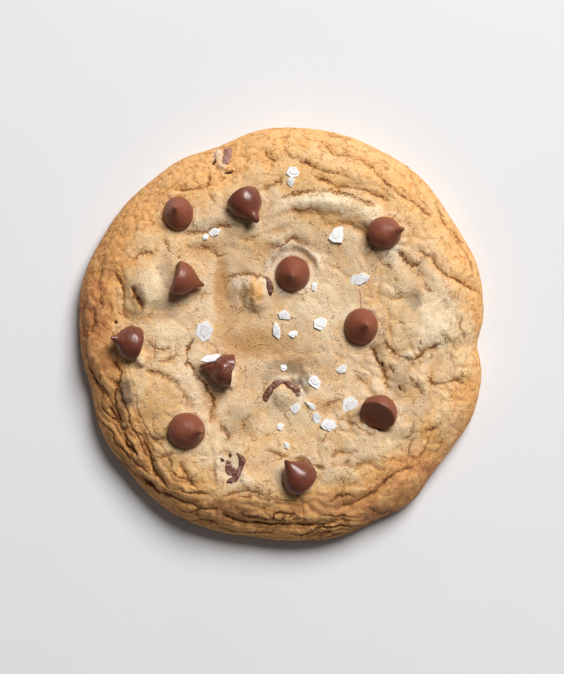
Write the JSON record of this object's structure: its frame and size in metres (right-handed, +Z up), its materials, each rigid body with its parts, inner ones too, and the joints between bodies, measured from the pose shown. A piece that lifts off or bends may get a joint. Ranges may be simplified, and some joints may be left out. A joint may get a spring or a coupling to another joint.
{
  "type": "chocolate chip cookie",
  "caption": "Large round baked cookie with a crinkled golden rim, a pale soft middle, whole chocolate chips and flaky salt, lying flat on its base.",
  "frame": {"origin": "centre of the cookie's box at the underside, where it rests on the table", "axes": "+Z up out of the top of the cookie, +Y along its longest width, +X to the right"},
  "size_m": [0.1154, 0.118, 0.0227],
  "materials": {
    "dough": "matte baked dough, golden brown at the rim and pale sandy in the middle",
    "chocolate": "satin milk chocolate"
  },
  "bodies": {
    "root": {"cookie_dough": "dough", "chip_north_west": "chocolate", "chip_north": "chocolate", "chip_north_east": "chocolate", "chip_centre": "chocolate", "chip_east": "chocolate", "chip_west": "chocolate", "chip_west_edge": "chocolate", "chip_south_west": "chocolate", "chip_middle": "chocolate", "chip_south_east": "chocolate", "chip_south": "chocolate", "covered_north": "chocolate", "covered_middle": "chocolate", "covered_south_west": "chocolate", "covered_centre": "chocolate"}
  },
  "joints": []
}
